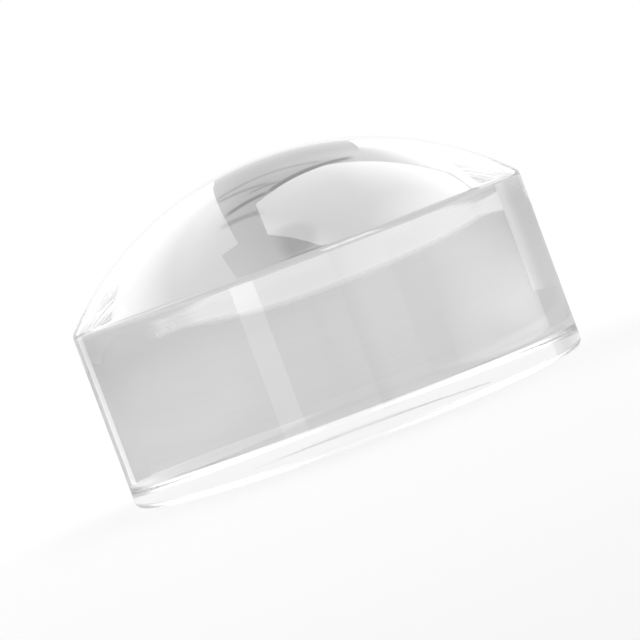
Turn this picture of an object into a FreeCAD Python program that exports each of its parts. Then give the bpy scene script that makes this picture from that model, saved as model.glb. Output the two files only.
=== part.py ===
"""Low vision dome magnifier: one solid lens of clear acrylic.

The lens is a short cylinder with a spherical dome on top.  Its underside has a shallow
relieved reading face inside a narrow contact ring, so that only the ring touches the page.
Lengths are in millimetres and angles in degrees.  The origin is the centre of the contact
ring on the page, and +Z is the optical axis, pointing up through the dome.
"""

import FreeCAD, Part

import math
import os

from FreeCAD import Vector

# Body
body_diameter = 65.0
wall_height = 25.0              # page to the sharp rim where dome and wall would meet
dome_rise = 14.1                # that rim to the top of the dome

# Edges
rim_rounding = 1.4
base_rounding = 0.9

# Underside
contact_ring_width = 1.2        # flat ring that rests on the page
reading_face_relief = 0.4       # how far the reading face stands above the page
relief_step_run = 0.25          # how far the step from ring to reading face slopes inwards

# Values that follow from the sizes above
body_radius = body_diameter / 2
dome_radius = (body_radius ** 2 + dome_rise ** 2) / (2 * dome_rise)
total_height = wall_height + dome_rise
relief_radius = body_radius - base_rounding - contact_ring_width
reading_face_radius = relief_radius - relief_step_run

AXIS = Vector(0, 0, 1)


def point(radius, height):
    """Return the point of the half section at a distance from the axis and a height."""
    return Vector(radius, 0, height)


def arc(centre, radius, start_angle, end_angle):
    """Return a round stretch of the half section, with angles counted up from +X."""
    def on_circle(angle):
        turn = math.radians(angle)
        return centre + point(radius * math.cos(turn), radius * math.sin(turn))

    middle_angle = (start_angle + end_angle) / 2
    ends_and_middle = [on_circle(angle) for angle in (start_angle, middle_angle, end_angle)]
    return Part.Arc(*ends_and_middle).toShape()


def half_section():
    """Return the closed outline that is spun about the axis, from the top of the dome down.

    The rim arc touches the wall and the dome from inside, so its centre lies one rounding
    in from the wall, and as far from the dome's centre as the two radii differ.
    """
    dome_centre = point(0, total_height - dome_radius)
    rim_centre_radius = body_radius - rim_rounding
    rim_centre_rise = math.sqrt((dome_radius - rim_rounding) ** 2 - rim_centre_radius ** 2)
    rim_centre = dome_centre + point(rim_centre_radius, rim_centre_rise)
    rim_angle = math.degrees(math.atan2(rim_centre_rise, rim_centre_radius))
    base_centre = point(body_radius - base_rounding, base_rounding)

    dome = arc(dome_centre, dome_radius, 90, rim_angle)
    rim = arc(rim_centre, rim_rounding, rim_angle, 0)
    wall = Part.makeLine(point(body_radius, rim_centre.z), point(body_radius, base_rounding))
    base = arc(base_centre, base_rounding, 0, -90)
    underside = Part.makePolygon([
        point(body_radius - base_rounding, 0),
        point(relief_radius, 0),
        point(reading_face_radius, reading_face_relief),
        point(0, reading_face_relief),
        point(0, total_height),
    ])
    return Part.Wire([dome, rim, wall, base, *underside.Edges])


def lens_body():
    """Return the finished lens, spun from its half section."""
    lens = Part.Face(half_section()).revolve(point(0, 0), AXIS, 360)
    if not lens.isValid():
        raise ValueError("the lens has to be a valid solid")
    return lens


nodes = {"lens_body": lens_body()}

os.makedirs("parts", exist_ok=True)
for name, shape in nodes.items():
    shape.exportStep(f"parts/{name}.step")
    box = shape.optimalBoundingBox(False, False)
    print(f"{name}: {shape.ShapeType}, volume {shape.Volume:.1f} mm3,"
          f" box {box.XLength:.3f} x {box.YLength:.3f} x {box.ZLength:.3f} mm")
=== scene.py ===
"""Low vision dome magnifier: the finished look of a solid clear acrylic reading lens.

The lens is one moulded and polished piece: a short cylinder with a spherical dome on top and,
underneath, a reading face that stands a hair above the page inside a narrow contact ring.

Lengths are in metres unless something else is said. The contact ring's centre on the page is the
origin and +Z the optical axis. Azimuths run from +Y towards +X.
"""

import logging
import math
from collections.abc import Callable
from dataclasses import dataclass
from enum import Enum

import bpy
import numpy as np
from mathutils import Matrix, Vector

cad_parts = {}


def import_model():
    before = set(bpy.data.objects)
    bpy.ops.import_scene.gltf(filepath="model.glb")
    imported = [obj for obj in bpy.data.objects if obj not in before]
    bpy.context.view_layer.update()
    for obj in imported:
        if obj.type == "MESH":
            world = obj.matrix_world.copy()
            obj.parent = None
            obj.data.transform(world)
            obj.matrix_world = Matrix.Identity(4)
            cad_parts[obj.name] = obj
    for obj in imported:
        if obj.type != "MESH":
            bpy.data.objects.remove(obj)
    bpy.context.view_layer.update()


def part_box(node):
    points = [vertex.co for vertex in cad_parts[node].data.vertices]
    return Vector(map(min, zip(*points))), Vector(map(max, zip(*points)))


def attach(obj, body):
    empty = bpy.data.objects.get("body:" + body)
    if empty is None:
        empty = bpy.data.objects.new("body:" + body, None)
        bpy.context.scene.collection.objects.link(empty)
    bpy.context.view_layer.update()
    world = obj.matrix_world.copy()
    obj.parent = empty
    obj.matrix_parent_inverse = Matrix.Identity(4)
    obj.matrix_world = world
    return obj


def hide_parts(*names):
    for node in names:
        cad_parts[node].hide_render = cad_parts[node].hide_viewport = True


LOG = logging.getLogger("dome_magnifier")

Pair = tuple[float, float]
Triple = tuple[float, float, float]

MIDDLE = 0.5  # middle of a Grain's values, which run from 0 to 1

# ---- Shader maths ----


@dataclass(frozen=True)
class Step:
    """A smooth step of a level, as a value runs from low to high.

    Attributes:
        low: value where the step starts.
        high: value where it ends.
        first: level before the step.
        last: level after it.
    """

    low: float
    high: float
    first: float = 0.0
    last: float = 1.0

    def at(self, value: "Signal") -> "Signal":
        """The level at a value.

        Args:
            value: the value that runs through the step.

        Returns:
            The level.
        """
        settings = {"interpolation_type": "SMOOTHSTEP"}
        inputs = {"Value": value, "From Min": self.low, "From Max": self.high}
        inputs |= {"To Min": self.first, "To Max": self.last}
        return value.desk.signal(value.desk.node("ShaderNodeMapRange", settings, inputs))


@dataclass(frozen=True)
class Grain:
    """The make-up of a soft random pattern.

    Attributes:
        scale: grains per unit of length.
        detail: number of finer layers.
        rough: weight of the finer layers.
    """

    scale: float
    detail: float
    rough: float

    def at(self, place: "Signal") -> "Signal":
        """The pattern's value at a place, from 0 to 1.

        Args:
            place: where the pattern is read.

        Returns:
            The value.
        """
        inputs = {"Vector": place, "Scale": self.scale}
        inputs |= {"Detail": self.detail, "Roughness": self.rough}
        return place.desk.signal(place.desk.node("ShaderNodeTexNoise", None, inputs), "Fac")


def math_operator(operation: str, swapped: bool = False) -> Callable[..., "Signal"]:
    """A method of Signal that adds one Math node.

    Args:
        operation: what the node does.
        swapped: whether the other value stands on the left.

    Returns:
        The method.
    """

    def operate(this: "Signal", other: "Signal | float" = 0.0) -> "Signal":
        """The result of the node."""
        left, right = (other, this) if swapped else (this, other)
        return this.desk.maths(operation, left, right)

    return operate


class Signal:
    """One value on its way through a node tree, so that shader maths reads as arithmetic."""

    def __init__(self, desk: "NodeDesk", socket: bpy.types.NodeSocket) -> None:
        """Wraps the output socket of a node on a desk."""
        self.desk = desk
        self.socket = socket

    __add__ = math_operator("ADD")
    __radd__ = math_operator("ADD", swapped=True)
    __sub__ = math_operator("SUBTRACT")
    __rsub__ = math_operator("SUBTRACT", swapped=True)
    __mul__ = math_operator("MULTIPLY")
    __rmul__ = math_operator("MULTIPLY", swapped=True)
    __truediv__ = math_operator("DIVIDE")
    __rtruediv__ = math_operator("DIVIDE", swapped=True)
    __pow__ = math_operator("POWER")
    __rpow__ = math_operator("POWER", swapped=True)
    __abs__ = math_operator("ABSOLUTE")
    larger = math_operator("MAXIMUM")
    angle_over = math_operator("ARCTAN2")


class NodeDesk:
    """Clears one node tree and makes every node in it."""

    def __init__(self, tree: bpy.types.NodeTree) -> None:
        """Takes over the node tree of a material or of the world."""
        self.tree = tree
        self.tree.nodes.clear()

    def node(
        self, kind: str, settings: dict | None = None, inputs: dict | None = None
    ) -> bpy.types.Node:
        """Makes one node, sets its options and fills its inputs.

        Args:
            kind: Blender's type name of the node.
            settings: option names and their values; "stops" are those of a colour ramp.
            inputs: socket names or numbers, each with a Signal or a plain value.

        Returns:
            The new node.
        """
        made = self.tree.nodes.new(kind)
        for name, value in (settings or {}).items():
            if name == "stops":
                self.set_stops(made.color_ramp.elements, value)
            else:
                setattr(made, name, value)
        for key, value in (inputs or {}).items():
            self.feed(made.inputs[key], value)
        return made

    @staticmethod
    def set_stops(elements: bpy.types.ColorRampElements, stops: list[Pair]) -> None:
        """Sets the stops of a new colour ramp, which has two.

        Args:
            elements: the stops of the ramp.
            stops: pairs of position and grey level.
        """
        elements.remove(elements[1])
        for index, (position, level) in enumerate(stops):
            element = elements[0] if index == 0 else elements.new(position)
            element.position = position
            element.color = grey(level)

    def feed(self, socket: bpy.types.NodeSocket, value: object) -> None:
        """Links or sets one input.

        Args:
            socket: the input to fill.
            value: a Signal or a plain value.
        """
        if isinstance(value, Signal):
            self.tree.links.new(value.socket, socket)
        else:
            socket.default_value = value

    def signal(self, node: bpy.types.Node, output: str | int = 0) -> Signal:
        """The named output of a node as a Signal."""
        return Signal(self, node.outputs[output])

    def maths(self, operation: str, left: Signal | float, right: Signal | float) -> Signal:
        """One Math node on two values."""
        made = self.node("ShaderNodeMath", {"operation": operation}, {0: left, 1: right})
        return self.signal(made)

    def place(self) -> Signal:
        """The shaded point in the object's own coordinates."""
        return self.signal(self.node("ShaderNodeTexCoord"), "Object")

    def split(self, vector: Signal) -> tuple[Signal, Signal, Signal]:
        """The three components of a vector."""
        parts = self.node("ShaderNodeSeparateXYZ", None, {0: vector})
        return self.signal(parts, 0), self.signal(parts, 1), self.signal(parts, 2)

    def join(self, x: Signal | float, y: Signal | float, z: Signal | float) -> Signal:
        """A vector from three components."""
        return self.signal(self.node("ShaderNodeCombineXYZ", None, {0: x, 1: y, 2: z}))

    def stretch(self, vector: Signal, factors: Triple) -> Signal:
        """A vector with each component multiplied by its own factor."""
        settings = {"operation": "MULTIPLY"}
        return self.signal(self.node("ShaderNodeVectorMath", settings, {0: vector, 1: factors}))

    def along(self, vector: Signal, slope: Triple) -> Signal:
        """The sum of a vector's components, each multiplied by its own slope."""
        x, y, z = self.split(self.stretch(vector, slope))
        return x + y + z

    def blend(self, share: Signal | float, first: object, second: object) -> Signal:
        """A colour between two colours."""
        inputs = {0: share, 6: first, 7: second}
        return self.signal(self.node("ShaderNodeMix", {"data_type": "RGBA"}, inputs), 2)

    def shader(self, kind: str, inputs: dict | None = None) -> Signal:
        """One shader node as a Signal."""
        return self.signal(self.node(kind, None, inputs))

    def mix_shaders(self, share: Signal | float, first: Signal, second: Signal) -> Signal:
        """A surface between two surfaces."""
        return self.shader("ShaderNodeMixShader", {0: share, 1: first, 2: second})

    def plain_glow(self, strength: float) -> Signal:
        """A surface that glows evenly in white, and is black where the strength is 0."""
        return self.shader("ShaderNodeEmission", {"Color": grey(1.0), "Strength": strength})

    def output(self, surface: Signal, kind: str = "ShaderNodeOutputMaterial") -> None:
        """Ends the tree in its output node."""
        self.node(kind, None, {"Surface": surface})


def grey(level: float) -> tuple[float, float, float, float]:
    """A neutral colour of the given linear level."""
    return (level, level, level, 1.0)


def new_material(name: str) -> tuple[bpy.types.Material, NodeDesk]:
    """Makes an empty material.

    Args:
        name: name of the material.

    Returns:
        The material and the desk that makes its nodes.
    """
    material = bpy.data.materials.new(name)
    material.use_nodes = True
    return material, NodeDesk(material.node_tree)


# ---- Finishes ----


@dataclass(frozen=True)
class PolishedAcrylic:
    """Clear cast acrylic, turned and then polished, with the marks of a lens in daily use.

    Attributes:
        refractive_index: of PMMA.
        clear_tone: tint of the clean material.
        handled_tone: tint where fingers have left a film.
        polish: roughness where the polish is best.
        film: roughness under the film.
        film_cloud: pattern of the film.
        film_cover: how much of that pattern is film.
        edge_satin: roughness of the unpolished lower edge, contact ring and step.
        edge_top: where the satin ends, over the height.
        edge_inside: where it ends underneath, over the distance from the axis.
        turning: pattern of the turning marks along the section.
        turning_depth: height of the turning marks.
        hairlines: pattern of the hairline scratches.
        hairline_stretch: how that pattern is drawn out.
        hairline_crest: width of one hairline in that pattern.
        hairline_cloud: pattern of the scratched places.
        hairline_cover: how much of that pattern is scratched.
        scratch_depth: depth of the hairlines.
    """

    refractive_index: float = 1.49
    clear_tone: float = 0.992
    handled_tone: float = 0.975
    polish: float = 0.0
    film: float = 0.02
    film_cloud: Grain = Grain(60.0, 4.0, 0.6)
    film_cover: Step = Step(0.45, 0.75)
    edge_satin: float = 0.22
    edge_top: Step = Step(0.0008, 0.0009, 1.0, 0.0)
    edge_inside: Step = Step(0.03013, 0.03015)
    turning: Grain = Grain(900.0, 4.0, 0.6)
    turning_depth: float = 0.0000006
    hairlines: Grain = Grain(2600.0, 2.0, 0.5)
    hairline_stretch: Triple = (1.0, 0.12, 0.12)
    hairline_crest: Step = Step(0.0, 0.012, 1.0, 0.0)
    hairline_cloud: Grain = Grain(220.0, 2.0, 0.5)
    hairline_cover: Step = Step(0.56, 0.66)
    scratch_depth: float = 0.0000004

    def make(self) -> bpy.types.Material:
        """Builds the material.

        Turning marks are noise read at (distance from the axis, height), so they run round the
        lens. Hairlines are the thin crests of a noise that is drawn out along two directions. The
        film of handling is a broad noise that lowers the polish and the clarity a little.

        Returns:
            The material.
        """
        material, desk = new_material("polished_acrylic")
        place = desk.place()
        x, y, height = desk.split(place)
        radius = (x * x + y * y) ** 0.5
        marks = self.turning.at(desk.join(radius, height, 0.0))
        brushed = self.hairlines.at(desk.stretch(place, self.hairline_stretch))
        hairline = self.hairline_crest.at(abs(brushed - MIDDLE))
        hairline = hairline * self.hairline_cover.at(self.hairline_cloud.at(place))
        relief = marks * self.turning_depth - hairline * self.scratch_depth
        inputs = {"Height": relief, "Strength": 1.0, "Distance": 1.0}
        bump = desk.signal(desk.node("ShaderNodeBump", None, inputs))
        film = self.film_cover.at(self.film_cloud.at(place))
        tone = desk.blend(film, grey(self.clear_tone), grey(self.handled_tone))
        satin = self.edge_top.at(height) * self.edge_inside.at(radius)
        roughness = film * (self.film - self.polish) + satin * self.edge_satin + self.polish
        surface = desk.shader(
            "ShaderNodeBsdfPrincipled",
            {
                "Base Color": tone,
                "Roughness": roughness,
                "Normal": bump,
                "IOR": self.refractive_index,
                "Transmission Weight": 1.0,
            },
        )
        desk.output(surface)
        return material


@dataclass(frozen=True)
class PaintedThread:
    """One painted dark thread of shade in the light behind the lens; lengths are in body radii.

    Attributes:
        distance: Y of the thread where X is 0.
        slope: change of Y with X.
        start: X of its first end.
        end: X of its other end.
        depth: share of the light that its painted shade takes away.
        width: half width of its core.
        profile: how it fades sideways, over the distance from its line in widths.
        tail: how it fades at its ends, over the distance past them.
    """

    distance: float
    slope: float
    start: float
    end: float
    depth: float
    width: float = 0.005
    profile: Step = Step(0.4, 2.0, 1.0, 0.0)
    tail: Step = Step(-0.004, 0.004, 1.0, 0.0)

    def shade(self, x: Signal, y: Signal) -> Signal:
        """Share of painted shade at a spot, as light that is missing.

        Args:
            x: X of the spot.
            y: Y of the spot.

        Returns:
            The share, from 0 to depth.
        """
        aside = abs(y - (x * self.slope + self.distance))
        past = abs(x - (self.start + self.end) / 2.0) - (self.end - self.start) / 2.0
        return self.profile.at(aside / self.width) * self.tail.at(past) * self.depth


@dataclass(frozen=True)
class PaintedLensLight:
    """Painted light and shade that stand in for what the lens does to the light on the sheet right
    behind it; lengths are in body radii.

    A painted bright patch lies behind the lens on the right, in a wide painted halo. Closer in, the
    painted light narrows to a fan that is brightest at the lens and has a darker core with a few
    dark threads of painted shade.

    Attributes:
        centre: middle of the circle that bounds the patch.
        rim: the patch's soft rim, over the distance from its centre.
        draw_start: X from which that circle draws in.
        draw_in: how fast it draws in.
        patch: share of white in the patch, over Y.
        patch_gain: what it gains farther right, over X.
        patch_start: where it begins, over X.
        fan: share of white in the fan, over Y.
        fan_gain: what it gains on the left, over X.
        fan_width: where it ends sideways, over the distance from its axis.
        fan_end: where it ends behind, over Y.
        fan_start: where it begins behind the lens, over Y.
        core_middle: X of the fan's darker core.
        core: how much nearer the fan fades there, over the distance from the core.
        halo_right: share of white in the halo on the right, over X.
        halo_left: share of white in the halo on the left, over X.
        halo_left_end: where the left one ends, over Y.
        halo_start: where both begin, over Y.
        tip_middle: X of the dark tip at the fan's far end.
        tip_width: how wide it is, over the distance from its middle.
        tip: share of light missing in it, over Y.
        tip_end: where it ends, over Y.
        threads: the dark threads of painted shade.
    """

    centre: Pair = (-0.12, 1.22)
    rim: Step = Step(1.01, 1.06, 1.0, 0.0)
    draw_start: float = 0.2
    draw_in: float = 0.45
    patch: Step = Step(1.35, 1.68, 0.69, 0.12)
    patch_gain: Step = Step(0.25, 0.45, 0.0, 0.26)
    patch_start: Step = Step(0.04, 0.16)
    fan: Step = Step(1.12, 1.33, 0.82, 0.1)
    fan_gain: Step = Step(-0.06, -0.01, 0.15, 0.0)
    fan_width: Step = Step(0.2, 0.32, 1.0, 0.0)
    fan_end: Step = Step(1.33, 1.6, 1.0, 0.0)
    fan_start: Step = Step(0.5, 0.9)
    core_middle: float = 0.012
    core: Step = Step(0.025, 0.055, 0.045, 0.0)
    halo_right: Step = Step(0.02, 0.08, 0.0, 0.30)
    halo_left: Step = Step(-0.16, -0.08, 0.16, 0.0)
    halo_left_end: Step = Step(2.0, 2.3, 1.0, 0.0)
    halo_start: Step = Step(1.4, 1.5)
    tip_middle: float = 0.007
    tip_width: Step = Step(0.008, 0.026, 1.0, 0.0)
    tip: Step = Step(1.3655, 1.373, 0.0, 0.25)
    tip_end: Step = Step(1.45, 1.55, 1.0, 0.0)
    threads: tuple[PaintedThread, ...] = (
        PaintedThread(1.284, 0.0, -0.034, -0.003, 0.42, 0.0045),
        PaintedThread(1.280, -1.7, -0.003, 0.055, 0.42, 0.007),
        PaintedThread(1.201, 0.0, -0.035, 0.035, 0.18),
        PaintedThread(1.250, 0.95, -0.035, 0.0, 0.22),
        PaintedThread(1.341, 0.9, -0.042, -0.012, 0.25),
        PaintedThread(1.257, 0.0, -0.014, 0.006, 0.25, 0.003),
        PaintedThread(1.327, -0.333, 0.2, 0.42, 0.45, 0.012),
    )

    def bright(self, x: Signal, y: Signal) -> Signal:
        """Share of white painted light at a spot: the largest of patch, fan and halo.

        The circle round the patch draws in by draw_in times the distance past X = draw_start.

        Args:
            x: X of the spot.
            y: Y of the spot.

        Returns:
            The share of white.
        """
        aside = x - self.centre[0]
        away = y - self.centre[1]
        drawn = (x - self.draw_start).larger(0.0) * self.draw_in
        inside = self.rim.at((aside * aside + away * away) ** 0.5 + drawn)
        level = self.patch.at(y) + self.patch_gain.at(x)
        patch = inside * level * self.patch_start.at(x)
        core = self.core.at(abs(x - self.core_middle))
        fan = self.fan.at(y + core) + self.fan_gain.at(x)
        fan = fan * self.fan_width.at(abs(x))
        fan = fan * self.fan_end.at(y) * self.fan_start.at(y)
        right = inside * self.halo_right.at(x)
        left = self.halo_left.at(x) * self.halo_left_end.at(y)
        halo = (right + left) * self.halo_start.at(y)
        return patch.larger(fan).larger(halo)

    def dark(self, x: Signal, y: Signal) -> Signal:
        """Share of painted shade at a spot, as light missing: the largest of the tip and the
        threads.

        Args:
            x: X of the spot.
            y: Y of the spot.

        Returns:
            The missing share.
        """
        width = self.tip_width.at(abs(x - self.tip_middle))
        total = self.tip.at(y) * width * self.tip_end.at(y)
        for thread in self.threads:
            total = total.larger(thread.shade(x, y))
        return total


@dataclass(frozen=True)
class MattPaper:
    """The pale sheet on the table: in the lens it shows its real shading with painted shade and
    painted light on top, and it reads white around it.

    Lengths are in body radii from the axis of the lens, angles in radians.

    Attributes:
        body_radius: radius of the lens in metres.
        tone: reflectance of the sheet as the lens sees it.
        roughness: of the sheet.
        fibres: pattern of the fibres, per metre.
        fibre_share: how much they vary the tone.
        clouds: broad unevenness, per metre.
        cloud_share: how much it varies the tone.
        streaks: long level streaks in the sheet.
        streak_stretch: how they are drawn out.
        streak_share: how much they vary the tone.
        bump_strength: strength of the fibres' relief.
        bump_height: height of that relief in metres.
        painted_near_shade: painted shade close behind the lens, as a share missing, over X without
            its sign.
        painted_near_shade_end: where that painted shade ends, over Y.
        painted_right_light: painted light far out on the right, as a factor of the tone, over X.
        painted_near_light: painted light added to that factor in the near half, over Y.
        painted_left_shade: painted shade far out on the left, as a share missing, over X.
        middle_turn: angle of the darkest direction of painted shade behind the lens.
        middle_loss: painted shade round that direction, as a share missing, over the angle from it.
        painted_shadow_foot: point that the painted shadow of the grey flag turns about.
        painted_flag_shadow: share missing in that painted shadow, over the angle about that point.
        edge: Y of the sheet's far end, over X; the three steps are added.
        edge_soft: the soft far end itself, over Y past it.
        edge_open: where the sheet has no far end on the right, over X / Y.
        smallest_y: keeps that ratio finite.
        under_page: share of white under the lens, where a page lies, over the radius.
        front_page: share of white in front, where polished skins mirror a page, over Y.
        page_reach: where that page ends, over the radius.
        open_tone: reflectance of the sheet where it is seen directly.
        open_lift: share of white there.
        open_glow: strength of that white.
        painted_lens_light: painted light and shade that stand in for the light that the lens throws
            behind it.
    """

    body_radius: float
    tone: float = 0.53
    roughness: float = 0.9
    fibres: Grain = Grain(700.0, 6.0, 0.65)
    fibre_share: float = 0.03
    clouds: Grain = Grain(9.0, 3.0, 0.5)
    cloud_share: float = 0.05
    streaks: Grain = Grain(1.0, 4.0, 0.6)
    streak_stretch: Triple = (0.25, 4.0, 1.0)
    streak_share: float = 0.1
    bump_strength: float = 0.2
    bump_height: float = 0.0001
    painted_near_shade: Step = Step(0.2, 0.32, 0.225, 0.0)
    painted_near_shade_end: Step = Step(1.4, 1.55, 1.0, 0.0)
    painted_right_light: Step = Step(8.5, 13.0, 1.0, 1.06)
    painted_near_light: Step = Step(3.0, 6.0, 0.032, 0.0)
    painted_left_shade: Step = Step(-12.0, -4.0, 0.19, 0.0)
    middle_turn: float = -0.096
    middle_loss: Step = Step(0.15, 0.35, 0.065, 0.0)
    painted_shadow_foot: Pair = (0.25, 0.97)
    painted_flag_shadow: Step = Step(0.777758, 0.917758, 0.0, 0.12)
    edge: tuple[Step, ...] = (
        Step(-14.6, -10.6, 11.05, 16.05),
        Step(0.0, 7.5, 0.0, 2.7),
        Step(6.3, 8.5, 0.0, -1.15),
    )
    edge_soft: Step = Step(-1.1, 1.1)
    edge_open: Step = Step(0.42, 0.58, 1.0, 0.0)
    smallest_y: float = 0.01
    under_page: Step = Step(0.9312, 0.96, 0.45, 0.0)
    front_page: Step = Step(0.45, 0.75, 0.9, 0.0)
    page_reach: Step = Step(2.5, 3.3, 1.0, 0.0)
    open_tone: float = 0.80
    open_lift: float = 0.70
    open_glow: float = 1.05
    painted_lens_light: PaintedLensLight = PaintedLensLight()

    def painted_shade(self, x: Signal, y: Signal) -> Signal:
        """Painted shade at a spot, as a share of light missing: far left, middle, the flag's
        painted shadow and the threads together.

        Args:
            x: X of the spot.
            y: Y of the spot.

        Returns:
            The missing share.
        """
        left = self.painted_left_shade.at(x)
        aside = abs(x.angle_over(y) - self.middle_turn)
        middle = self.middle_loss.at(aside)
        foot_x, foot_y = self.painted_shadow_foot
        flag = self.painted_flag_shadow.at((foot_x - x).angle_over(y - foot_y))
        return left + middle + flag + self.painted_lens_light.dark(x, y)

    def beyond(self, x: Signal, y: Signal) -> Signal:
        """Whether a spot lies past the far end of the sheet.

        The far end recedes from left to right in two soft steps and comes back a little in a
        third. On the right, past a certain ratio of X to Y, the sheet runs on.

        Args:
            x: X of the spot.
            y: Y of the spot.

        Returns:
            0 on the sheet and 1 past its end.
        """
        edge = sum(step.at(x) for step in self.edge)
        ratio = x / (abs(y) + self.smallest_y)
        return self.edge_soft.at(y - edge) * self.edge_open.at(ratio)

    def page(self, radius: Signal, y: Signal, through: Signal) -> Signal:
        """Share of white where a page lies; light through the lens doesn't show the front one."""
        front = self.front_page.at(y) * self.page_reach.at(radius)
        return self.under_page.at(radius).larger(front * (1.0 - through))

    def make(self) -> bpy.types.Material:
        """Builds the material.

        The lens sees the sheet's real shading with painted shade and painted light on it, and white
        where the pages lie; the camera sees the same sheet nearly white.

        Returns:
            The material.
        """
        material, desk = new_material("matt_paper")
        place = desk.place()
        unit = 1.0 / self.body_radius
        spot = desk.stretch(place, (unit, unit, unit))
        x, y, _ = desk.split(spot)
        radius = (x * x + y * y) ** 0.5
        rays = desk.node("ShaderNodeLightPath")
        fibres = self.fibres.at(place)
        relief = {"Height": fibres, "Strength": self.bump_strength, "Distance": self.bump_height}
        bump = desk.signal(desk.node("ShaderNodeBump", None, relief))
        streaks = self.streaks.at(desk.stretch(spot, self.streak_stretch))
        texture = (fibres - MIDDLE) * self.fibre_share + (streaks - MIDDLE) * self.streak_share
        texture = texture + (self.clouds.at(place) - MIDDLE) * self.cloud_share + 1.0
        # painted shade close behind the lens, and painted light on the right and in the near half,
        # all in the tone
        near = self.painted_near_shade.at(abs(x)) * self.painted_near_shade_end.at(y)
        gain = self.painted_right_light.at(x) + self.painted_near_light.at(y)
        tone = texture * (1.0 - near) * gain * self.tone
        sheet = desk.shader(
            "ShaderNodeBsdfPrincipled",
            {
                "Base Color": desk.join(tone, tone, tone),
                "Roughness": self.roughness,
                "Specular IOR Level": 0.0,
                "Normal": bump,
            },
        )
        white = desk.plain_glow(1.0)
        # painted light from the lens: white mixed into the sheet where the patch, fan and halo lie
        lit = desk.mix_shaders(self.painted_lens_light.bright(x, y), sheet, white)
        # painted shade: far left, middle, the flag's shadow and the lens's dark tip and threads, as
        # black mixed in
        shaded = desk.mix_shaders(self.painted_shade(x, y), lit, desk.plain_glow(0.0))
        on_page = self.page(radius, y, desk.signal(rays, "Is Transmission Ray"))
        seen_by_lens = desk.mix_shaders(on_page, shaded, white)
        plain = {"Color": grey(self.open_tone), "Normal": bump}
        open_sheet = desk.shader("ShaderNodeBsdfDiffuse", plain)
        open_white = desk.plain_glow(self.open_glow)
        seen_directly = desk.mix_shaders(self.open_lift, open_sheet, open_white)
        directly = desk.signal(rays, "Is Camera Ray")
        paper = desk.mix_shaders(directly, seen_by_lens, seen_directly)
        nothing = desk.shader("ShaderNodeBsdfTransparent")
        desk.output(desk.mix_shaders(self.beyond(x, y), paper, nothing))
        return material


@dataclass(frozen=True)
class GlowingCloth:
    """The lit front of a softbox, panel or card: cloth with slightly uneven light behind it.

    Attributes:
        name: name of the material.
        strength: brightness, where plain white paper is 1.
        far_strength: brightness at the far end, where the glow isn't even.
        slope: change of the way to the far end per metre along X, Y and Z.
        offset: the way to the far end at the origin; 0 is the near end and 1 the far end.
        fade_slope: change of the glow per metre along X, Y and Z where it fades out sideways.
        fade_offset: the glow of that fade at the origin; it is kept between 0 and 1.
        cloud: pattern of the uneven light.
        unevenness: how much it varies the brightness.
    """

    name: str
    strength: float
    far_strength: float | None = None
    slope: Triple = (0.0, 0.0, 0.0)
    offset: float = 0.0
    fade_slope: Triple = (0.0, 0.0, 0.0)
    fade_offset: float = 1.0
    cloud: Grain = Grain(4.0, 2.0, 0.5)
    unevenness: float = 0.12

    def make(self) -> bpy.types.Material:
        """Builds the material.

        Returns:
            The material.
        """
        material, desk = new_material(self.name)
        place = desk.place()
        far = self.strength if self.far_strength is None else self.far_strength
        way = desk.along(place, self.slope) + self.offset
        fade = desk.along(place, self.fade_slope) + self.fade_offset
        level = Step(0.0, 1.0, self.strength, far).at(way) * Step(0.0, 1.0).at(fade)
        tone = level * ((self.cloud.at(place) - MIDDLE) * self.unevenness + 1.0)
        colour = desk.join(tone, tone, tone)
        desk.output(desk.shader("ShaderNodeEmission", {"Color": colour, "Strength": 1.0}))
        return material


@dataclass(frozen=True)
class BlackCloth:
    """Matt black fabric of a softbox housing.

    Attributes:
        name: name of the material.
        tone: reflectance of the cloth.
        roughness: of the cloth.
        gloss: its specular level.
        weave: pattern of the weave.
    """

    name: str
    tone: float = 0.02
    roughness: float = 0.9
    gloss: float = 0.1
    weave: Grain = Grain(900.0, 2.0, 0.5)

    def make(self) -> bpy.types.Material:
        """Builds the material.

        Returns:
            The material.
        """
        material, desk = new_material(self.name)
        tone = (self.weave.at(desk.place()) - MIDDLE + 1.0) * self.tone
        inputs = {
            "Base Color": desk.join(tone, tone, tone),
            "Roughness": self.roughness,
            "Specular IOR Level": self.gloss,
        }
        desk.output(desk.shader("ShaderNodeBsdfPrincipled", inputs))
        return material


# ---- The lens ----


@dataclass(frozen=True)
class LensSize:
    """Lengths of the lens in metres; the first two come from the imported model.

    Attributes:
        body_radius: radius of the cylinder.
        total_height: page to the top of the dome.
        dome_rise: sharp rim to the top of the dome.
        rim_rounding: radius of the rim between dome and wall.
        base_rounding: radius of the lower edge.
        contact_ring_width: flat ring that rests on the page.
        reading_face_relief: reading face above the page.
        relief_step_run: how far the step slopes inwards.
    """

    body_radius: float
    total_height: float
    dome_rise: float = 0.0141
    rim_rounding: float = 0.0014
    base_rounding: float = 0.0009
    contact_ring_width: float = 0.0012
    reading_face_relief: float = 0.0004
    relief_step_run: float = 0.00025

    @property
    def dome_radius(self) -> float:
        """Radius of the sphere whose cap has the dome's width and rise."""
        return (self.body_radius**2 + self.dome_rise**2) / (2.0 * self.dome_rise)

    @property
    def dome_centre(self) -> float:
        """Height of the sphere's centre; it lies below the page."""
        return self.total_height - self.dome_radius


@dataclass(frozen=True)
class Fineness:
    """How finely the lens is divided.

    Attributes:
        round_steps: divisions round the axis.
        dome_steps: divisions from the top to the rim.
        edge_steps: divisions of each rounded edge.
        wall_steps: divisions of the wall.
        ring_steps: divisions of the contact ring.
        relief_steps: divisions of the step inside it.
        face_steps: divisions of the reading face.
        crease: angle in degrees from which an edge is sharp.
    """

    round_steps: int = 384
    dome_steps: int = 120
    edge_steps: int = 12
    wall_steps: int = 10
    ring_steps: int = 2
    relief_steps: int = 1
    face_steps: int = 10
    crease: float = 25.0


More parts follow.
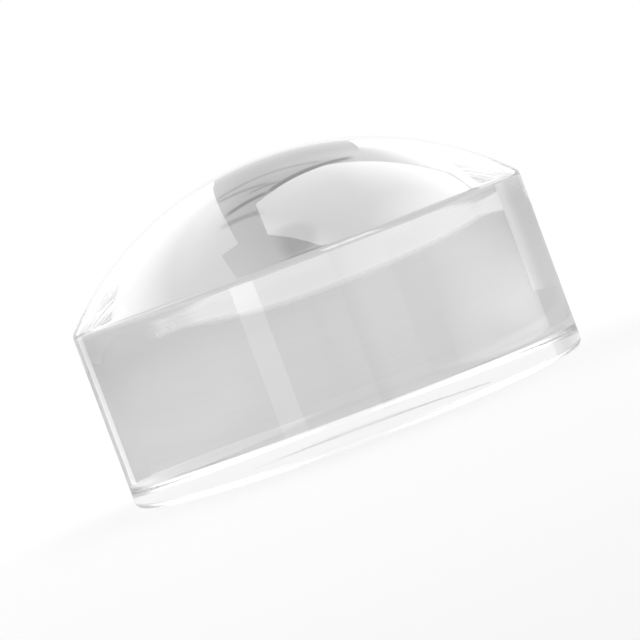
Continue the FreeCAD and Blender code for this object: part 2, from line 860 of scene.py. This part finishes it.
@dataclass(frozen=True)
class DomeMagnifier:
    """The whole lens: half section, turned mesh and finish.

    Attributes:
        size: lengths of the lens.
        fineness: divisions of the mesh.
        finish: the material of the lens.
    """

    size: LensSize
    fineness: Fineness = Fineness()
    finish: PolishedAcrylic = PolishedAcrylic()

    @staticmethod
    def arc(centre: Pair, radius: float, start: float, end: float, steps: int) -> np.ndarray:
        """Points on an arc of the half section.

        Point k is the centre plus the radius times (cos a, sin a), with the angle a running
        evenly from start to end.

        Args:
            centre: distance from the axis and height of the arc's centre.
            radius: radius of the arc.
            start: first angle in radians.
            end: last angle in radians.
            steps: number of divisions.

        Returns:
            An array of (distance from the axis, height).
        """
        angles = np.linspace(start, end, steps + 1)
        across = centre[0] + radius * np.cos(angles)
        return np.column_stack((across, centre[1] + radius * np.sin(angles)))

    @staticmethod
    def line(start: Pair, end: Pair, steps: int) -> np.ndarray:
        """Evenly spaced points from start to end, both included."""
        share = np.linspace(0.0, 1.0, steps + 1)[:, None]
        return np.asarray(start)[None, :] * (1.0 - share) + np.asarray(end)[None, :] * share

    def half_section(self) -> np.ndarray:
        """Outline of the lens from the top of the dome to the middle of the reading face.

        The rim arc touches both the sphere and the wall: its centre lies one rounding inside the
        wall, at the height where its distance from the sphere's centre is the dome radius less
        one rounding.

        Returns:
            An array of (distance from the axis, height), whose ends lie on the axis.
        """
        size = self.size
        steps = self.fineness
        quarter = math.pi / 2.0
        rim_in = size.body_radius - size.rim_rounding
        rim_up = math.sqrt((size.dome_radius - size.rim_rounding) ** 2 - rim_in**2)
        rim_angle = math.atan2(rim_up, rim_in)
        rim_height = size.dome_centre + rim_up
        base_in = size.body_radius - size.base_rounding
        base_up = size.base_rounding
        ring_in = base_in - size.contact_ring_width
        face_out = ring_in - size.relief_step_run
        relief = size.reading_face_relief
        middle = (0.0, size.dome_centre)
        dome = self.arc(middle, size.dome_radius, quarter, rim_angle, steps.dome_steps)
        rim = self.arc((rim_in, rim_height), size.rim_rounding, rim_angle, 0.0, steps.edge_steps)
        wall_top = (size.body_radius, rim_height)
        wall = self.line(wall_top, (size.body_radius, base_up), steps.wall_steps)
        base = self.arc((base_in, base_up), base_up, 0.0, -quarter, steps.edge_steps)
        ring = self.line((base_in, 0.0), (ring_in, 0.0), steps.ring_steps)
        step = self.line((ring_in, 0.0), (face_out, relief), steps.relief_steps)
        face = self.line((face_out, relief), (0.0, relief), steps.face_steps)
        parts = (dome, rim[1:], wall[1:], base[1:], ring[1:], step[1:], face[1:])
        outline = np.vstack(parts)
        outline[[0, -1], 0] = 0.0
        return outline

    def turned(self) -> tuple[np.ndarray, np.ndarray, np.ndarray]:
        """Spins the half section round the axis.

        The vertex of ring i and division k is (distance i times cos a, distance i times sin a,
        height i) with a = 2 pi k / divisions. The top and the middle of the reading face are
        single vertices.

        Returns:
            Vertices, quads and triangles.
        """
        outline = self.half_section()
        count = self.fineness.round_steps
        rings = outline[1:-1]
        angles = np.arange(count) * (2.0 * math.pi / count)
        x = rings[:, :1] * np.cos(angles)[None, :]
        y = rings[:, :1] * np.sin(angles)[None, :]
        z = np.repeat(rings[:, 1:], count, axis=1)
        skin = np.stack((x, y, z), axis=-1).reshape(-1, 3)
        top = np.array([[0.0, 0.0, outline[0, 1]]])
        bottom = np.array([[0.0, 0.0, outline[-1, 1]]])
        vertices = np.vstack((skin, top, bottom))
        here = np.arange(count)
        following = (here + 1) % count
        upper = (np.arange(len(rings) - 1) * count)[:, None]
        lower = upper + count
        quads = np.stack(
            (upper + here, lower + here, lower + following, upper + following), axis=-1
        ).reshape(-1, 4)
        top_index = len(skin)
        last = (len(rings) - 1) * count
        cap = np.column_stack((np.full(count, top_index), here, following))
        face = np.column_stack((np.full(count, top_index + 1), last + following, last + here))
        return vertices, quads, np.vstack((cap, face))

    def build(self) -> None:
        """Makes the lens object, dressed and in place."""
        vertices, quads, triangles = self.turned()
        mesh = bpy.data.meshes.new("dome_magnifier_lens")
        mesh.from_pydata(vertices, [], quads.tolist() + triangles.tolist())
        mesh.validate()
        mesh.update()
        mesh.polygons.foreach_set("use_smooth", np.ones(len(mesh.polygons), dtype=bool))
        mesh.set_sharp_from_angle(angle=math.radians(self.fineness.crease))
        mesh.materials.append(self.finish.make())
        lens = bpy.data.objects.new("dome_magnifier_lens", mesh)
        bpy.context.scene.collection.objects.link(lens)
        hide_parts("lens_body")
        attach(lens, "root")
        LOG.info("lens: %d vertices, %d faces", len(mesh.vertices), len(mesh.polygons))


# ---- Paper, light and camera ----


class Shown(Enum):
    """The rays that meet a studio object."""

    EVERYTHING = ("diffuse", "glossy", "transmission", "shadow")
    MIRRORED = ("glossy",)
    THROUGH_GLASS = ("transmission",)


def stage_sheet(
    name: str,
    corners: np.ndarray,
    material: bpy.types.Material,
    shown: Shown = Shown.EVERYTHING,
    to_camera: bool = False,
) -> None:
    """Makes one flat studio sheet, which is kept apart from the object.

    Args:
        name: name of the sheet.
        corners: its corners in order, in metres.
        material: its material.
        shown: which rays meet it.
        to_camera: whether the camera sees it directly.
    """
    mesh = bpy.data.meshes.new(name)
    mesh.from_pydata(corners.tolist(), [], [tuple(range(len(corners)))])
    mesh.materials.append(material)
    sheet = bpy.data.objects.new(name, mesh)
    bpy.context.scene.collection.objects.link(sheet)
    sheet.visible_camera = to_camera
    for ray in Shown.EVERYTHING.value:
        setattr(sheet, f"visible_{ray}", ray in shown.value)
    LOG.info("studio: %s", name)


@dataclass(frozen=True)
class PaperFloor:
    """The sheet that the lens stands on.

    Attributes:
        reach: half width of the modelled sheet in metres.
        gap: how far it lies below the contact ring, so that the two don't share a plane.
    """

    reach: float = 1.4
    gap: float = 0.00005

    def build(self, body_radius: float) -> None:
        """Makes the sheet.

        Args:
            body_radius: radius of the lens in metres.
        """
        signs = np.array([[-1.0, -1.0], [1.0, -1.0], [1.0, 1.0], [-1.0, 1.0]])
        corners = np.column_stack((signs * self.reach, np.full(len(signs), -self.gap)))
        stage_sheet("paper_floor", corners, MattPaper(body_radius).make(), to_camera=True)


@dataclass(frozen=True)
class OctagonSoftbox:
    """The main light: an eight-sided softbox high behind the lens on the right, facing it.

    Attributes:
        azimuth: direction from the lens in degrees.
        elevation: height above the page in degrees.
        distance: from the lens in metres.
        sides: number of its sides.
        spread: circumradius as a share of the distance.
        roll: turn about its own axis in degrees.
        cloth: its finish, which glows more at the corner nearest the lens.
        housing: outer size of the black housing as a share of the cloth.
        housing_distance: its distance from the lens as a share of the cloth's.
    """

    azimuth: float = 51.65
    elevation: float = 63.78
    distance: float = 0.54
    sides: int = 8
    spread: float = 0.4931
    roll: float = -23.98
    cloth: GlowingCloth = GlowingCloth("softbox_cloth", 2.6, 3.9, (-10.0, -7.2, 0.0), 1.22)
    housing: float = 1.04
    housing_distance: float = 1.01

    def corners(self, scale: float, distance: float) -> np.ndarray:
        """The corners of the cloth or the housing.

        Corner k is the centre plus the circumradius times (cos a, sin a) in the plane that faces
        the lens, with a = roll + 360 degrees times k / sides.

        Args:
            scale: size as a share of the cloth.
            distance: from the lens in metres.

        Returns:
            An array of places in metres.
        """
        azimuth = math.radians(self.azimuth)
        elevation = math.radians(self.elevation)
        level = math.cos(elevation)
        out = np.array([math.sin(azimuth) * level, math.cos(azimuth) * level, math.sin(elevation)])
        across = np.cross(out, [0.0, 0.0, 1.0])
        across /= np.linalg.norm(across)
        up = np.cross(across, out)
        turns = np.arange(self.sides)[:, None] * (360.0 / self.sides)
        angles = np.radians(self.roll + turns)
        radius = distance * self.spread * scale
        return out * distance + radius * (np.cos(angles) * across + np.sin(angles) * up)

    def build(self) -> None:
        """Makes the cloth and the housing behind it."""
        stage_sheet("softbox_cloth", self.corners(1.0, self.distance), self.cloth.make())
        housing = self.corners(self.housing, self.distance * self.housing_distance)
        stage_sheet("softbox_housing", housing, BlackCloth("softbox_housing").make())


@dataclass(frozen=True)
class CeilingPanel:
    """A level light panel overhead; its cloth bears the same name.

    Attributes:
        outline: its corners (X, Y) in order, as shares of the height.
        cloth: its finish.
    """

    outline: tuple[Pair, ...]
    cloth: GlowingCloth

    def build(self, height: float) -> None:
        """Makes the panel at a height above the page."""
        corners = np.column_stack((np.asarray(self.outline), np.ones(len(self.outline))))
        stage_sheet(self.cloth.name, corners * height, self.cloth.make())


@dataclass(frozen=True)
class StandingCard:
    """An upright card on the table; its cloth bears the same name. Lengths are in body radii.

    Attributes:
        start: (X, Y) of its first foot.
        end: (X, Y) of its second foot.
        bottom: height of its lower edge.
        top: height of its upper edge.
        cloth: its finish.
        shown: which rays meet it.
    """

    start: Pair
    end: Pair
    bottom: float
    top: float
    cloth: GlowingCloth
    shown: Shown = Shown.MIRRORED

    def build(self, body_radius: float) -> None:
        """Makes the card.

        Args:
            body_radius: radius of the lens in metres.
        """
        feet = np.array([self.start, self.end, self.end, self.start])
        heights = (self.bottom, self.bottom, self.top, self.top)
        corners = np.column_stack((feet, heights))
        stage_sheet(self.cloth.name, corners * body_radius, self.cloth.make(), self.shown)


PANELS = (
    CeilingPanel(
        (
            (-2.6, -0.3), (-0.293, -0.3), (-0.293, 0.205), (-0.205, 0.205),
            (-0.205, 3.0), (-2.2, 7.5), (-4.5, 7.5),
        ),
        GlowingCloth("panel_left", 1.85, 2.05, (0.0, 5.5, 0.0), -0.33),
    ),
    CeilingPanel(
        ((0.37, 0.9), (2.6, 0.9), (4.5, 7.5), (2.2, 7.5), (0.37, 3.0)),
        GlowingCloth("panel_right", 0.15, 2.3, (4.44, 1.667, 0.0), -2.187),
    ),
)

CARDS = (
    StandingCard(
        (-1.10, -2.09), (-0.75, -2.26), 0.0, 1.0,
        GlowingCloth("strip_front_left", 1.7, 3.4, (0.0, 0.0, 150.0), -2.45),
    ),
    StandingCard(
        (2.39, -0.47), (2.15, -1.97), 0.0, 1.2,
        GlowingCloth("card_right", 2.1, 0.6, (0.0, 0.0, 110.0), -0.66, (0.0, 22.0, 0.0), 1.86),
    ),
    StandingCard(
        (2.56, 0.61), (2.39, -0.47), 0.0, 1.2,
        GlowingCloth("card_right_back", 2.1, 0.6, (0.0, 0.0, 110.0), -0.66, (0.0, -13.0, 0.0), 0.8),
    ),
    StandingCard(
        (0.40, -2.17), (1.12, -1.86), 0.0, 1.0,
        GlowingCloth("strip_front_right", 0.1, 0.9, (110.0, 0.0, 0.0), -1.5),
    ),
    StandingCard(
        (-1.84, 0.97), (-1.62, 1.20), 0.0, 1.2,
        GlowingCloth("strip_back_left", 1.5),
    ),
    StandingCard(
        (1.31, -5.86), (3.97, -4.50), 3.2, 7.0,
        GlowingCloth("strip_front_high", 6.0),
    ),
    StandingCard(
        (-2.75, 8.0), (2.1, 8.0), 0.626, 0.635,
        GlowingCloth("bar_back", 0.62, 0.86, (20.0, 0.0, 0.0), -0.3),
        Shown.THROUGH_GLASS,
    ),
    StandingCard(
        (-2.72, 3.65), (-3.9, -0.6), 0.0, 1.3,
        GlowingCloth("flag_left", 0.63, 0.80, (0.0, 42.0, 0.0), -3.98),
        Shown.THROUGH_GLASS,
    ),
)


@dataclass(frozen=True)
class Studio:
    """Every light and card of the studio.

    Attributes:
        ceiling: height of the level panels in metres.
        softbox: the main light.
        panels: the level panels on both sides of it.
        cards: the upright cards on the table.
    """

    ceiling: float = 0.6
    softbox: OctagonSoftbox = OctagonSoftbox()
    panels: tuple[CeilingPanel, ...] = PANELS
    cards: tuple[StandingCard, ...] = CARDS

    def build(self, body_radius: float) -> None:
        """Makes everything.

        Args:
            body_radius: radius of the lens in metres.
        """
        self.softbox.build()
        for panel in self.panels:
            panel.build(self.ceiling)
        for card in self.cards:
            card.build(body_radius)


@dataclass(frozen=True)
class Backdrop:
    """The room beyond the paper: white low down, darker overhead, plain white seen directly.

    Attributes:
        mirrored: pairs of elevation in degrees and brightness, as polished skins mirror it.
        through: the same, as it is seen through the lens.
        low: how far up the next three reach, over the height of the direction.
        middle_turn: angle in radians of the darkest direction behind the lens.
        middle_loss: share of light missing round it, over the angle from it.
        right_loss: share of light missing on the right, over X of the direction.
        left_gain: share of light gained on the left, over X of the direction.
    """

    mirrored: tuple[Pair, ...] = (
        (-90.0, 0.86), (0.0, 0.86), (4.0, 0.97), (14.0, 1.0), (20.0, 0.6),
        (27.0, 0.3), (36.0, 0.22), (45.0, 0.08), (90.0, 0.08),
    )
    through: tuple[Pair, ...] = (
        (-90.0, 0.86), (0.0, 0.86), (4.0, 0.93), (14.0, 0.97), (90.0, 0.97),
    )
    low: Step = Step(0.0, 0.03, 1.0, 0.0)
    middle_turn: float = -0.03
    middle_loss: Step = Step(0.08, 0.25, 0.06, 0.0)
    right_loss: Step = Step(0.3, 0.42, 0.0, 0.07)
    left_gain: Step = Step(-0.5, -0.2, 0.04, 0.0)

    @staticmethod
    def levels(desk: NodeDesk, height: Signal, stops: tuple[Pair, ...]) -> Signal:
        """Brightness over the height of the direction, which is the sine of its elevation.

        Args:
            desk: the node desk.
            height: Z of the direction.
            stops: pairs of elevation in degrees and brightness.

        Returns:
            The brightness.
        """
        heights = [(math.sin(math.radians(angle)) + 1.0) / 2.0 for angle, _ in stops]
        settings = {"stops": list(zip(heights, (level for _, level in stops)))}
        inputs = {"Fac": (height + 1.0) / 2.0}
        return desk.signal(desk.node("ShaderNodeValToRGB", settings, inputs))

    def build(self) -> None:
        """Sets the world up."""
        world = bpy.data.worlds.new("studio_room")
        bpy.context.scene.world = world
        world.use_nodes = True
        desk = NodeDesk(world.node_tree)
        x, y, z = desk.split(desk.signal(desk.node("ShaderNodeTexCoord"), "Generated"))
        aside = abs(x.angle_over(y) - self.middle_turn)
        change = self.left_gain.at(x) - self.middle_loss.at(aside)
        change = (change - self.right_loss.at(x)) * self.low.at(z)
        through = self.levels(desk, z, self.through) * (1.0 + change)
        mirrored = self.levels(desk, z, self.mirrored)
        rays = desk.node("ShaderNodeLightPath")
        seen = desk.blend(desk.signal(rays, "Is Transmission Ray"), mirrored, through)
        tone = desk.blend(desk.signal(rays, "Is Camera Ray"), seen, grey(1.0))
        background = desk.shader("ShaderNodeBackground", {"Color": tone, "Strength": 1.0})
        desk.output(background, "ShaderNodeOutputWorld")
        LOG.info("backdrop: %d and %d levels", len(self.mirrored), len(self.through))


@dataclass(frozen=True)
class StudioCamera:
    """The camera, low in front of the lens and tilted on its side.

    Attributes:
        place: position in body radii.
        turn: heading from +Y towards +X in radians.
        dip: angle below level in radians.
        roll: turn about the line of sight in radians.
        focal_length: in millimetres.
        sensor_width: in millimetres.
        nearest: where its view begins, in metres.
        farthest: where its view ends, in metres.
    """

    place: Triple = (0.0, -14.3147, 1.1298)
    turn: float = -0.0001
    dip: float = 0.04609
    roll: float = -0.35724
    focal_length: float = 191.45
    sensor_width: float = 36.0
    nearest: float = 0.01
    farthest: float = 20.0

    def build(self, body_radius: float) -> None:
        """Makes the camera and makes it the scene's own.

        Args:
            body_radius: radius of the lens in metres.
        """
        level = math.cos(self.dip)
        ahead = Vector(
            (math.sin(self.turn) * level, math.cos(self.turn) * level, -math.sin(self.dip))
        )
        sideways = ahead.cross(Vector((0.0, 0.0, 1.0))).normalized()
        upright = sideways.cross(ahead)
        right = sideways * math.cos(self.roll) + upright * math.sin(self.roll)
        above = upright * math.cos(self.roll) - sideways * math.sin(self.roll)
        data = bpy.data.cameras.new("studio_camera")
        data.sensor_width = self.sensor_width
        data.lens = self.focal_length
        data.clip_start = self.nearest
        data.clip_end = self.farthest
        camera = bpy.data.objects.new("studio_camera", data)
        bpy.context.scene.collection.objects.link(camera)
        turned = Matrix((right, above, -ahead)).transposed().to_4x4()
        camera.matrix_world = Matrix.Translation(Vector(self.place) * body_radius) @ turned
        bpy.context.scene.camera = camera
        LOG.info("camera: %.0f mm", self.focal_length)


def light_paths(bounces: int = 24) -> None:
    """Lets light pass through the lens as often as it needs to.

    Args:
        bounces: the most times that a ray may meet a surface.
    """
    cycles = bpy.context.scene.cycles
    cycles.max_bounces = bounces
    cycles.transmission_bounces = bounces
    cycles.glossy_bounces = bounces


def main() -> None:
    """Builds the scene in order and reports each piece."""
    logging.basicConfig(level=logging.INFO, format="%(name)s: %(message)s")
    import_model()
    low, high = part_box("lens_body")
    size = LensSize(body_radius=(high.x - low.x) / 2.0, total_height=high.z - low.z)
    DomeMagnifier(size).build()
    PaperFloor().build(size.body_radius)
    Studio().build(size.body_radius)
    Backdrop().build()
    StudioCamera().build(size.body_radius)
    light_paths()
    bpy.context.scene.view_settings.view_transform = "Standard"


if __name__ == "__main__":
    main()
